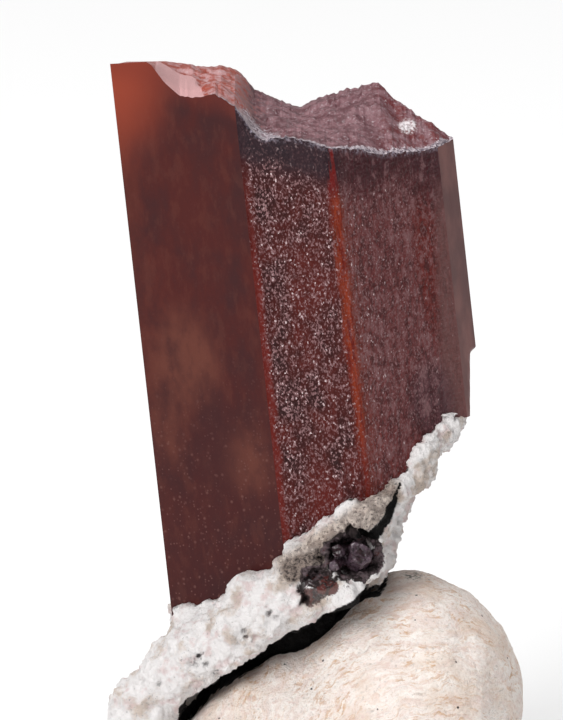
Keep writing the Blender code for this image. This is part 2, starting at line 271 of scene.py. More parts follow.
def chipShare(across, depth):  # 1 on the clean chip, 0 outside it
    behind = depth - frontDepth(across)
    fromRight = prism["chipRight"] - 0.12 * behind - across
    inside = min(across - prism["chipLeft"], fromRight, prism["chipReach"] - behind)
    return smoothStep(0.0, 0.3, inside)


def topHeight(across, share):
    depth = frontDepth(across) + (backDepth(across) - frontDepth(across)) * share
    front = readProfile(prism["topFront"], across) + rimNotch(across, 1.0)
    back = readProfile(prism["topBack"], across) + rimNotch(across, 9.0)
    inChip = chipShare(across, depth)
    inside = min(1.0, 2.2 * math.sin(math.pi * share))
    spot = Vector((across, depth, 3.0))
    lumps = noise.fractal(spot * 0.7, 0.9, 2.0, 3) * 0.8
    steps = noise.ridged_multi_fractal(spot * 1.3, 0.8, 2.1, 4, 1.0, 2.0) - 1.0
    rough = (lumps + 0.12 * steps) * (1 - inChip) * smoothStep(-5.0, -4.0, across)
    relief = prism["topRoughness"] * rough + prism["chipRise"] * inChip
    return front + (back - front) * share + inside * relief


def columnsAcross():  # every corner of the section gets a column of its own
    stops = sorted({round(corner.x, 4) for corner in corners})
    columns = []
    for low, high in zip(stops, stops[1:]):
        count = max(1, round((high - low) / prism["columnStep"]))
        if high <= corners[1].x + 0.01:
            count = max(1, round(count * prism["plainColumns"]))
        columns += [low + (high - low) * index / count for index in range(count)]
    return columns + [stops[-1]]


def addSheet(shape, columns, rows, place, regionOf):  # a grid, each point of it put in its place
    made = bmesh.ops.create_grid(shape, x_segments=len(columns) - 1, y_segments=rows, size=0.5)
    last = len(columns) - 1
    for vert in made["verts"]:
        column = columns[round((vert.co.x + 0.5) * last)]
        vert.co = place(column, vert.co.y + 0.5)
    for face in {face for vert in made["verts"] for face in vert.link_faces}:
        face.material_index = regionOf(face.calc_center_median().x)


def sideHeight(across, share, top):
    bottom = readProfile(prism["contact"], across) - prism["rootDepth"]
    return bottom + (top - bottom) * share


def stepIn(across, along):  # the right edge, cut back below its step
    lean = prism["lean"]
    height = across * math.sin(lean) + along * math.cos(lean)
    limit = (prism["stepX"] - prism["axisX"] + along * math.sin(lean)) / math.cos(lean)
    share = smoothStep(prism["stepTop"], prism["stepTop"] - prism["stepHeight"], height)
    return across - max(across - limit, 0.0) * share


def frontRegion(across):
    return frostedFace if corners[1].x < across < corners[3].x else smoothFace


def backRegion(across):  # the section is the same when it is turned half round
    return frontRegion(-across)


def topRegion(across):
    return brokenFace


def makeCrystal():
    columns = columnsAcross()
    shape = bmesh.new()

    def frontPoint(across, share):
        along = sideHeight(across, share, topHeight(across, 0.0))
        return Vector((stepIn(across, along), frontDepth(across), along))

    def backPoint(across, share):
        along = sideHeight(across, share, topHeight(across, 1.0))
        return Vector((stepIn(across, along), backDepth(across), along))

    def topPoint(across, share):
        depth = frontDepth(across) + (backDepth(across) - frontDepth(across)) * share
        return Vector((across, depth, topHeight(across, share)))

    def rootPoint(across, share):
        depth = frontDepth(across) + (backDepth(across) - frontDepth(across)) * share
        along = sideHeight(across, 0.0, 0.0)
        return Vector((stepIn(across, along), depth, along))

    addSheet(shape, columns, prism["rows"], frontPoint, frontRegion)
    addSheet(shape, columns, prism["rows"], backPoint, backRegion)
    addSheet(shape, columns, prism["depthRows"], topPoint, topRegion)
    addSheet(shape, columns, 1, rootPoint, topRegion)
    bmesh.ops.remove_doubles(shape, verts=shape.verts, dist=prism["weld"])
    bmesh.ops.dissolve_degenerate(shape, edges=shape.edges, dist=prism["weld"])
    bmesh.ops.recalc_face_normals(shape, faces=shape.faces)
    for face in shape.faces:
        face.smooth = face.material_index != frostedFace
    for edge in shape.edges:
        regions = {face.material_index for face in edge.link_faces}
        edge.smooth = len(regions) == 1 and edge.calc_face_angle(0.0) < prism["crease"]
    markTop(shape)
    etchFaces(shape)
    shape.transform(standing)
    piece = newPiece("crystalBody", shape)
    for finish in (smoothTopaz(), frostedTopaz(), brokenTopaz()):
        piece.data.materials.append(finish)
    showPiece(piece, "topaz_crystal")


def markTop(shape):  # where the clean chip is, and the crumbled rim at the front
    chip = shape.verts.layers.float.new("chip")
    rim = shape.verts.layers.float.new("rim")
    for vert in shape.verts:
        across, depth, along = vert.co
        low = readProfile(prism["topFront"], across)
        behind = depth - frontDepth(across)
        vert[chip] = chipShare(across, depth)
        nearRim = smoothStep(prism["rimReach"], 0.0, behind) * smoothStep(0.3, 0.05, low - along)
        vert[rim] = nearRim * smoothStep(-4.0, -2.2, across)


def etchFaces(shape):  # pits and upright striations on the frosted faces, short of their edges
    frosted = {vert for face in shape.faces if face.material_index == frostedFace for vert in face.verts}
    edges = {
        vert for vert in frosted
        if any(face.material_index != frostedFace for face in vert.link_faces)
    }
    shape.normal_update()
    for vert in frosted - edges:
        spot = vert.co
        pits = noise.noise(Vector((spot.x * 5.5, spot.y * 5.5, spot.z * 4.0)))
        sharp = noise.noise(Vector((spot.x * 13, spot.y * 13, spot.z * 9)))
        striation = noise.noise(Vector((spot.x * 7, spot.y * 7, spot.z * 0.35)))
        depth = prism["frostDepth"] * (0.5 * pits + 0.9 * sharp) + prism["striationDepth"] * striation
        vert.co += vert.normal * (depth - 0.6 * prism["frostDepth"])


def crystalFinish(name, roughness, specular):
    finish = Finish(name, roughness, specular)
    lean = prism["lean"]
    shift = (-prism["axisX"] * math.cos(lean), 0, prism["axisX"] * math.sin(lean))
    finish.crystal = finish.placed(finish.millimetres, location=shift, turn=(0, lean, 0))
    return finish


def paintTopaz(finish, colour):
    return finish.paint(finish.blend(prism["shade"], colour, tone(0, 0, 0)))


def smoothTopaz():
    look = {
        "body": tone(74, 28, 25), "purple": tone(60, 28, 29), "paintedGlow": tone(138, 58, 40),
        "patch": tone(104, 58, 47), "speck": tone(122, 84, 78), "mauve": tone(122, 77, 73),
        "mauveDark": tone(96, 58, 57), "edge": tone(86, 38, 31), "rim": tone(112, 44, 34),
        "roughness": 0.3, "specular": 0.12,
    }
    finish = crystalFinish("smooth topaz face", look["roughness"], look["specular"])
    clouds = finish.grain(1.7, detail=4, rough=0.55, vector=finish.crystal, stretch=(1, 1, 1.5))
    across = finish.axis("X", finish.crystal)
    height = finish.axis("Z", finish.crystal)
    colour = finish.blend(finish.ramp(clouds, 0.35, 0.7), look["body"], look["purple"])
    leftEdge = finish.ramp(finish.plus(across, finish.ramp(clouds, 0.3, 0.7, -0.6, 0.6)), -6.2, -7.6)
    colour = finish.blend(finish.times(leftEdge, 0.6), colour, look["edge"])
    lower = finish.ramp(height, 13.0, 25.0, 0.55, 0.0)
    colour = finish.blend(lower, colour, look["purple"])
    for centre, radii, strength in (
        ((-5.6, -3, 21.4), (2.3, 5, 3.4), 0.7),
        ((-3.2, -4, 16.9), (1.7, 5, 2.4), 0.6),
        ((-6.8, -2, 18.5), (1.3, 4, 3.4), 0.4),
    ):
        spot = finish.blob(centre, radii, finish.crystal)
        cloudy = finish.times(spot, finish.ramp(clouds, 0.3, 0.72, 1.5, 0.3))
        colour = finish.blend(finish.ramp(cloudy, 0.0, 0.9, 0.0, strength), colour, look["patch"])
    mottle = finish.grain(0.5, detail=4, rough=0.6, vector=finish.crystal, stretch=(1, 1, 2.2))
    colour = finish.blend(finish.ramp(mottle, 0.48, 0.68, 0.0, 0.18), colour, look["patch"])
    colour = finish.blend(finish.ramp(mottle, 0.5, 0.34, 0.0, 0.25), colour, look["purple"])
    dark = finish.blob((-4.6, -3.5, 17.4), (1.6, 5, 3.4), finish.crystal)
    colour = finish.blend(finish.ramp(dark, 0.0, 0.8, 0.0, 0.6), colour, look["purple"])
    # painted light: a glow as if light shone through the thin top-left corner, and a reddish painted glow
    # along the top rim
    paintedGlow = finish.blob((-8.2, -2.0, 36.4), (4.6, 7, 7.4), finish.crystal)
    colour = finish.blend(finish.ramp(paintedGlow, 0.02, 0.62), colour, look["paintedGlow"])
    paintedRimGlow = finish.ramp(finish.minus(height, finish.times(across, -0.35)), 31.4, 32.8)
    colour = finish.blend(finish.times(paintedRimGlow, 0.45), colour, look["rim"])
    rightSide = finish.blend(finish.ramp(clouds, 0.35, 0.62), look["mauve"], look["mauveDark"])
    colour = finish.blend(finish.ramp(across, 5.9, 6.6), colour, rightSide)
    for size, shareLow in ((0.26, 0.5), (0.14, 0.6)):
        spots = finish.cells(size, finish.crystal, output="Distance")
        chosen = finish.lots(size, finish.crystal)
        specks = finish.times(finish.ramp(spots, 0.38, 0.1), finish.ramp(chosen, 0.62, 0.95))
        fewer = finish.ramp(height, 24.0, 11.5, 0.04, shareLow)
        colour = finish.blend(finish.times(specks, fewer), colour, look["speck"])
    finish.bump(mottle, 0.012)
    return paintTopaz(finish, colour)


def frostedTopaz():
    look = {
        "dark": tone(40, 11, 12), "ember": tone(80, 20, 14), "frost": tone(134, 99, 101),
        "paintedGlint": tone(212, 192, 193), "red": tone(96, 22, 14), "orange": tone(136, 50, 24),
        "haze": tone(112, 42, 30), "slate": tone(34, 26, 34), "rightBody": tone(102, 42, 42),
        "rightRimShade": tone(54, 24, 32), "mauve": tone(104, 66, 64), "thread": tone(104, 22, 20),
        "plum": tone(66, 38, 46), "clump": tone(136, 100, 102), "seam": tone(52, 18, 20),
        "crumb": tone(158, 150, 164), "roughness": 0.42, "specular": 0.14,
    }
    finish = crystalFinish("frosted topaz face", look["roughness"], look["specular"])
    height = finish.axis("Z", finish.crystal)
    atFront = finish.ramp(finish.axis("Y", finish.crystal), 0.05, -0.05)
    side = finish.minus(finish.times(atFront, 2.0), 1.0)
    across = finish.times(finish.axis("X", finish.crystal), side)  # the back repeats the front
    patches = finish.grain(1.3, detail=4, rough=0.6, vector=finish.crystal, stretch=(1, 1, 1.4))
    fine = finish.grain(0.13, detail=3, rough=0.7, vector=finish.crystal, stretch=(1, 1, 1.3))
    strands = finish.grain(0.12, detail=2, vector=finish.crystal, stretch=(1, 1, 9))
    under = finish.blend(finish.ramp(patches, 0.3, 0.75), look["dark"], look["ember"])
    onRight = finish.ramp(across, 1.9, 2.6)
    under = finish.blend(finish.times(onRight, 0.8), under, look["rightBody"])
    low = finish.minus(height, finish.times(across, 0.75))
    low = finish.ramp(low, 16.5, 12.6, 0.0, 0.9)
    under = finish.blend(finish.times(low, finish.ramp(patches, 0.35, 0.6)), under, look["red"])
    redZone = finish.blob((5.75, -1.2, 24.5), (0.75, 3, 4.8), finish.crystal)
    redZone = finish.ramp(redZone, 0.0, 0.6)
    under = finish.blend(redZone, under, look["red"])
    lean = finish.times(finish.minus(29.6, height), 0.0775)
    rightEnd = finish.ramp(finish.plus(across, lean), 6.3, 6.85)
    under = finish.blend(rightEnd, under, look["mauve"])
    # the streak down the narrow face, with upright strands and a warm haze to its right
    beside = finish.minus(finish.axis("X", finish.crystal), 2.02)
    beside = finish.plus(beside, finish.ramp(atFront, 0.0, 1.0, 5.0, 0.0))
    haze = finish.ramp(beside, 1.2, 0.1, 0.0, 0.65)
    haze = finish.times(haze, finish.ramp(beside, -0.15, 0.0))
    haze = finish.times(haze, finish.ramp(height, 30.0, 26.5))
    under = finish.blend(haze, under, look["haze"])
    wobble = finish.grain(0.6, detail=3, vector=finish.crystal, stretch=(1, 1, 3))
    wavering = finish.sums("ABSOLUTE", beside)
    wavering = finish.plus(wavering, finish.ramp(strands, 0.3, 0.7, -0.09, 0.09))
    wavering = finish.plus(wavering, finish.ramp(wobble, 0.3, 0.7, -0.05, 0.05))
    wavering = finish.plus(wavering, finish.ramp(height, 20.5, 15.0, 0.0, 0.16))
    wavering = finish.plus(wavering, finish.ramp(height, 28.0, 31.0, 0.0, 0.16))
    streak = finish.ramp(wavering, 0.44, 0.08)
    hot = finish.blend(finish.ramp(strands, 0.3, 0.6), look["red"], look["orange"])
    hot = finish.blend(finish.ramp(height, 27.8, 30.2), hot, look["red"])
    hot = finish.blend(finish.ramp(height, 20.0, 14.5, 0.0, 0.8), hot, look["red"])
    under = finish.blend(streak, under, hot)
    # a clearer red strip down the left edge of the frosted faces
    edge = finish.plus(across, finish.ramp(patches, 0.3, 0.7, -0.12, 0.12))
    fading = finish.ramp(height, 30.0, 24.0, 0.3, 0.9)
    strip = finish.times(finish.ramp(edge, -1.62, -1.86), fading)
    under = finish.blend(strip, under, look["red"])
    # painted shade under the rim, deepest on the left of the two faces
    line = finish.plus(height, finish.times(across, 0.25))
    line = finish.plus(line, finish.ramp(patches, 0.3, 0.7, -0.5, 0.5))
    rimShade = finish.ramp(line, finish.ramp(onRight, 0.0, 1.0, 29.0, 27.8), 30.9)
    rimShadeTone = finish.blend(onRight, look["slate"], look["rightRimShade"])
    under = finish.blend(finish.times(rimShade, 0.85), under, rimShadeTone)
    thread = finish.times(finish.ramp(wavering, 0.3, 0.16), finish.ramp(height, 28.4, 29.4))
    under = finish.blend(thread, under, look["thread"])
    corner = finish.ramp(finish.blob((5.2, -1.5, 18.2), (1.5, 3.5, 2.6), finish.crystal), 0.0, 0.6, 0.0, 0.75)
    under = finish.blend(corner, under, look["plum"])
    # frost over it, as a faint film with grains in it
    density = finish.ramp(edge, -1.98, -1.65, 0.15, 1.0)
    for value, limits in (
        (wavering, (0.0, 0.6, 0.3, 1.0)), (patches, (0.3, 0.7, 1.15, 0.8)), (low, (0.0, 0.9, 1.0, 0.6)),
        (rimShade, (0.1, 1.0, 1.0, 0.2)), (rightEnd, (0.0, 1.0, 1.0, 0.3)), (redZone, (0.0, 1.0, 1.0, 0.6)),
        (strands, (0.3, 0.7, 0.75, 1.2)),
    ):
        density = finish.times(density, finish.ramp(value, *limits))
    film = finish.ramp(onRight, 0.0, 1.0, 0.0, 0.14)
    colour = finish.blend(finish.times(film, density), under, look["frost"])
    clumps = finish.grain(0.34, detail=4, rough=0.7, vector=finish.crystal, stretch=(1, 1, 1.8))
    clumped = finish.times(onRight, finish.ramp(rightEnd, 0.0, 1.0, 1.0, 0.35))
    for limits, name in (((0.5, 0.4, 0.0, 0.6), "seam"), ((0.52, 0.66, 0.0, 0.6), "clump")):
        chosen = finish.times(clumped, finish.ramp(clumps, *limits))
        colour = finish.blend(chosen, colour, look[name])
    level = finish.lots(0.062, finish.crystal, stretch=(1, 1, 1.5))
    level = finish.plus(level, finish.ramp(fine, 0.3, 0.7, -0.3, 0.3))
    level = finish.minus(level, finish.ramp(across, 2.0, 4.2, 0.0, 0.1))
    frost = finish.times(finish.ramp(level, 0.46, 1.05), density)
    colour = finish.blend(frost, colour, look["frost"])
    # painted highlights: the brightest frost grains get painted glints, as if they caught the light
    paintedGlints = finish.times(finish.ramp(level, 1.07, 1.17), density)
    colour = finish.blend(paintedGlints, colour, look["paintedGlint"])
    rim = finish.times(finish.mark("rim"), finish.ramp(fine, 0.42, 0.66))
    rim = finish.times(rim, finish.ramp(patches, 0.4, 0.55, 1.0, 0.4))
    colour = finish.blend(rim, colour, look["crumb"])
    finish.bump(fine, 0.03)
    return paintTopaz(finish, colour)


def brokenTopaz():
    look = {
        "mauve": tone(138, 100, 106), "dark": tone(98, 58, 64), "orange": tone(158, 70, 54),
        "pink": tone(210, 162, 162), "paleRose": tone(190, 142, 142), "white": tone(214, 202, 208),
        "slate": tone(84, 80, 94), "wine": tone(110, 40, 42), "paintedGlint": tone(245, 238, 240),
        "roughness": 0.4, "specular": 0.3,
    }
    finish = crystalFinish("broken topaz", look["roughness"], look["specular"])
    across = finish.axis("X", finish.crystal)
    patches = finish.grain(0.5, detail=4, rough=0.65, vector=finish.crystal)
    fine = finish.grain(0.13, detail=3, rough=0.7, vector=finish.crystal)
    colour = finish.blend(finish.ramp(patches, 0.38, 0.6), look["mauve"], look["dark"])
    reds = finish.times(finish.ramp(across, 3.6, 5.2), finish.ramp(patches, 0.44, 0.58))
    colour = finish.blend(finish.times(reds, 0.8), colour, look["wine"])
    hot = finish.ramp(finish.plus(across, finish.ramp(patches, 0.3, 0.7, -0.5, 0.5)), -1.0, -2.2)
    warm = finish.blend(finish.ramp(patches, 0.42, 0.6), look["orange"], look["paleRose"])
    colour = finish.blend(hot, colour, warm)
    colour = finish.blend(finish.ramp(fine, 0.54, 0.72, 0.0, 0.5), colour, look["white"])
    colour = finish.blend(finish.ramp(finish.mark("chip"), 0.3, 0.7), colour, look["pink"])
    frost = finish.blend(finish.ramp(fine, 0.4, 0.6), look["slate"], look["white"])
    crumbs = finish.plus(finish.mark("rim"), finish.ramp(fine, 0.3, 0.7, -0.3, 0.3))
    slope = finish.blob((-1.1, -3.6, 32.2), (1.5, 2.2, 1.6), finish.crystal)
    crumbs = finish.plus(crumbs, finish.ramp(slope, 0.0, 0.6, 0.0, 0.75))
    colour = finish.blend(finish.ramp(crumbs, 0.35, 0.75, 0.0, 0.85), colour, frost)
    # a painted highlight: a white glint on the broken top
    paintedGlint = finish.blob((5.5, 0.6, 30.5), (0.6, 1.3, 0.45), finish.crystal)
    paintedGlint = finish.times(paintedGlint, finish.ramp(fine, 0.4, 0.6, 0.5, 1.6))
    colour = finish.blend(finish.ramp(paintedGlint, 0.1, 0.7, 0.0, 0.85), colour, look["paintedGlint"])
    finish.bump(fine, 0.05)
    return paintTopaz(finish, colour)


def copyOfNode(name, voxel):  # the CAD node's skin, merged, in millimetres, made of even fine faces
    shape = bmesh.new()
    shape.from_mesh(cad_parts[name].data)
    shape.transform(Matrix.Scale(1 / mm, 4))
    bmesh.ops.remove_doubles(shape, verts=shape.verts, dist=0.001)  # a node's triangles come loose
    coarse = bpy.data.meshes.new("coarse skin")
    shape.to_mesh(coarse)
    piece = bpy.data.objects.new("coarse skin", coarse)
    bpy.context.scene.collection.objects.link(piece)
    remesh = piece.modifiers.new("even faces", "REMESH")
    remesh.mode = "VOXEL"
    remesh.voxel_size = voxel
    graph = bpy.context.evaluated_depsgraph_get()
    fine = bpy.data.meshes.new_from_object(piece.evaluated_get(graph))
    bpy.data.objects.remove(piece)
    shape.clear()
    shape.from_mesh(fine)
    return shape


def nodeSurface(name):  # for measuring how far a point is from a CAD node
    shape = bmesh.new()
    shape.from_mesh(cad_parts[name].data)
    shape.transform(Matrix.Scale(1 / mm, 4))
    surface = BVHTree.FromBMesh(shape)
    shape.free()
    return surface


def soften(shape, times):
    for _ in range(times):
        bmesh.ops.smooth_vert(
            shape, verts=shape.verts, factor=0.5, use_axis_x=True, use_axis_y=True, use_axis_z=True
        )


def lineDistance(spot, line):  # in the plane of the photo's view, X and Z
    flat = Vector((spot.x, spot.z))
    nearest = math.inf
    for start, end in zip(line, line[1:]):
        start, end = Vector(start), Vector(end)
        way = end - start
        share = min(max((flat - start).dot(way) / way.length_squared, 0.0), 1.0)
        nearest = min(nearest, (start + way * share - flat).length)
    return nearest


crust = {
    "voxel": 0.095,
    "softenTimes": 3,
    "swell": 0.06,           # how far its skin lies outside the solid's
    "lumps": 0.14,           # heights of its relief, from coarse to fine
    "knobs": 0.15,
    "grains": 0.1,
    "pebbles": 0.3,          # of the gravel and the pocket
    "strewnDepth": 0.14,     # of the small pits all over it
    "strewnCells": 1.25,     # how many places for one there are to a millimetre
    "strewnLimit": 0.35,     # the higher, the fewer of them get one
    "closeUp": 0.9,          # skin nearer to the prism than this, and facing it, closes up to it
    "overlap": 0.06,         # and reaches this far into it
    "lowFrom": 4.4,          # right of this the rim around the prism is pressed down
    "lowBlend": 0.6,         # fully so from this much further right
    "lowBelow": 0.55,        # to this far below the line where the prism meets the crust
    "lowShare": 0.9,
    "pits": (                # X, Z, radius and depth of each pit in the front
        (-5.1, 7.75, 0.17, 0.3), (-5.3, 7.45, 0.4, 0.16), (-4.8, 7.4, 0.2, 0.2), (-4.95, 7.95, 0.12, 0.2),
        (-3.0, 9.08, 0.15, 0.25), (-2.95, 8.76, 0.13, 0.25), (-1.95, 9.9, 0.2, 0.22), (-1.6, 9.7, 0.14, 0.18),
        (-4.6, 9.2, 0.15, 0.1), (-6.9, 6.3, 0.2, 0.15), (-7.4, 5.3, 0.2, 0.15), (-4.3, 6.9, 0.3, 0.15),
        (-0.45, 11.0, 0.26, 0.8), (-0.3, 10.5, 0.24, 0.7), (1.75, 13.6, 0.28, 0.7), (2.2, 13.45, 0.24, 0.6),
        (0.45, 12.2, 0.16, 0.3), (0.9, 11.9, 0.2, 0.4), (0.2, 11.6, 0.14, 0.3), (1.0, 12.9, 0.2, 0.4),
    ),
    "pitFrom": -3.0,         # pits are only in front of this depth
    "crack": ((3.95, 15.4), (3.6, 14.5), (3.3, 13.75), (2.8, 13.25), (2.2, 13.3)),
    "crackWidth": 0.26,
    "crackDepth": 0.2,
    # lines in X and Z, beside which the crust's front is grey, gravelly or reddish
    "greyBand": ((-0.9, 11.9), (1.2, 13.3), (3.3, 15.0)),
    "gravel": ((-0.8, 11.8), (0.9, 12.4)),
    "redBits": ((-0.1, 10.6), (0.8, 11.1)),
    "caves": (               # the hollows of the pocket, as centre and radii
        (Vector((1.95, -5.9, 12.4)), (1.45, 2.0, 1.1)),
        (Vector((0.3, -6.3, 11.5)), (0.9, 1.4, 0.5)),
    ),
    "roofPoint": Vector((-4.4, 0.0, 6.6)),  # the crust's underside over the dark crevice
    "roofNormal": Vector((-0.57, -0.05, 0.82)).normalized(),
    "lip": 0.4,              # how far the edge over the crevice hangs down in the middle
    "creviceLeft": -6.0,
    "contactShadowReach": (0.62, 0.4),  # skin this near to the stone starts to take painted shadow, and is painted black
}


# how far a point is outside the prism's sides, the way out, and the point in the prism's own directions
def outsidePrism(spot):
    local = standing.inverted() @ spot
    flat = Vector((local.x, local.y))
    best, way = -math.inf, None
    for index, corner in enumerate(corners):
        turn = math.radians(prism["faceTurns"][index % 4]) + (math.pi if index > 3 else 0.0)
        normal = Vector((math.sin(turn), -math.cos(turn)))
        distance = (flat - corner).dot(normal)
        if distance > best:
            best, way = distance, normal
    return best, standing.to_3x3() @ Vector((way.x, way.y, 0)), local


def pitDepth(spot):  # of the listed pits and the crack
    if spot.y > crust["pitFrom"]:
        return 0.0
    ragged = 0.5 * noise.noise(spot * 4.0) + 0.3 * noise.noise(spot * 9.0)
    depth = 0.0
    for x, z, radius, deep in crust["pits"]:
        away = math.hypot(spot.x - x, spot.z - z) / radius
        if away < 2.0:
            depth = max(depth, deep * smoothStep(1.25, 0.35, away + ragged))
    return max(depth, crust["crackDepth"] * smoothStep(1.8, 0.3, crackAway(spot)))


def crackAway(spot):  # 1 at the crack's edge; it thins out upwards
    width = crust["crackWidth"] * (0.15 + 0.85 * smoothStep(15.3, 14.0, spot.z))
    return lineDistance(spot, crust["crack"]) / width + 0.5 * noise.noise(spot * 3.0)


def strewnPits(spot):  # small pits here and there, from the cells of a random pattern
    distances, points = noise.voronoi(spot * crust["strewnCells"])
    chosen = noise.cell(points[0] * 7.0)
    pit = crust["strewnDepth"] * smoothStep(0.3, 0.1, distances[0])
    return pit if chosen > crust["strewnLimit"] else 0.0


def inCave(spot):  # 1 inside the pocket and on its wall, 0 outside
    away = math.inf
    for centre, radii in crust["caves"]:
        offset = spot - centre
        away = min(away, Vector((offset.x / radii[0], offset.y / radii[1], offset.z / radii[2])).length)
    return smoothStep(1.18, 0.98, away + 0.25 * noise.noise(spot * 2.5))


def gravelShare(spot):
    if spot.y > crust["pitFrom"]:
        return 0.0
    return smoothStep(0.75, 0.35, lineDistance(spot, crust["gravel"]))


def makeCrust():
    shape = copyOfNode("matrix_crust", crust["voxel"])
    soften(shape, crust["softenTimes"])
    shape.normal_update()
    moves = []
    for vert in shape.verts:
        spot = vert.co
        lumps = noise.fractal(spot * 0.9, 0.8, 2.0, 3)
        knobs = noise.noise(spot * 2.3)
        grains = noise.noise(spot * 5.0) + 0.7 * noise.noise(spot * 9.0)
        rise = crust["lumps"] * lumps + crust["knobs"] * knobs + crust["grains"] * grains
        broken = max(gravelShare(spot), inCave(spot))
        pebbles = crust["pebbles"] * broken * (0.4 - noise.voronoi(spot * 2.6)[0][0]) if broken > 0 else 0.0
        moves.append(crust["swell"] + rise + pebbles - strewnPits(spot) - pitDepth(spot))
    for vert, move in zip(shape.verts, moves):
        over = (vert.co - crust["roofPoint"]).dot(crust["roofNormal"])
        hang = smoothStep(1.1, 0.2, over) * smoothStep(-2.6, -3.4, vert.co.y)
        hang *= smoothStep(-1.6, -0.4, vert.co.x) * smoothStep(2.4, 1.4, vert.co.x)
        vert.co += vert.normal * move - crust["roofNormal"] * crust["lip"] * hang
    shape.normal_update()
    for vert in shape.verts:
        distance, way, local = outsidePrism(vert.co)
        contact = readProfile(prism["contact"], local.x)
        if local.z > contact - prism["rootDepth"] and 0.0 < distance < crust["closeUp"]:
            facing = smoothStep(0.35, -0.3, vert.normal.dot(way))
            near = smoothStep(crust["closeUp"], 0.5, distance)
            vert.co -= way * (distance + crust["overlap"]) * facing * near
        if local.x > crust["lowFrom"]:
            above = local.z - contact + crust["lowBelow"]
            low = smoothStep(crust["lowFrom"], crust["lowFrom"] + crust["lowBlend"], local.x)
            vert.co.z -= crust["lowShare"] * max(0.0, above) * low
    bmesh.ops.recalc_face_normals(shape, faces=shape.faces)
    shape.normal_update()
    for face in shape.faces:
        face.smooth = True
    markCrust(shape)
    piece = newPiece("crustBody", shape)
    piece.data.materials.append(crustFinish())
    showPiece(piece, "matrix_crust")


def markCrust(shape):  # how much painted shadow (black near the stone, under the crevice's roof and in the crack) and painted pit shade each part of the crust gets, and how grey, gravelly, reddish or cave-like it is
    names = ("black", "cave", "grey", "gravel", "red", "pitShade")
    marks = {name: shape.verts.layers.float.new(name) for name in names}
    stoneSkin = nodeSurface("host_stone")
    for vert in shape.verts:
        spot = vert.co
        # painted contact shadow: skin near the stone turns black
        near = stoneSkin.find_nearest(spot, 1.5)[3]
        black = smoothStep(*crust["contactShadowReach"], near) if near is not None else 0.0
        under = (spot - crust["roofPoint"]).dot(crust["roofNormal"])
        # painted shadow under the crust's roof over the crevice
        if spot.x > crust["creviceLeft"]:
            fading = smoothStep(3.0, 2.1, spot.x) * smoothStep(-1.2, -2.2, spot.y)
            black = max(black, smoothStep(0.1, -0.2, under) * fading)
        # painted shadow in the crack
        if spot.y < crust["pitFrom"]:
            black = max(black, smoothStep(1.4, 0.5, crackAway(spot)))
        front = smoothStep(crust["pitFrom"], crust["pitFrom"] - 0.6, spot.y)
        vert[marks["black"]] = black
        # painted shade in the pits, darker the deeper they are
        vert[marks["pitShade"]] = min(1.0, pitDepth(spot) * 2.4)
        vert[marks["grey"]] = front * smoothStep(0.95, 0.5, lineDistance(spot, crust["greyBand"]))
        vert[marks["gravel"]] = gravelShare(spot)
        vert[marks["cave"]] = inCave(spot)
        vert[marks["red"]] = front * smoothStep(0.6, 0.2, lineDistance(spot, crust["redBits"]))


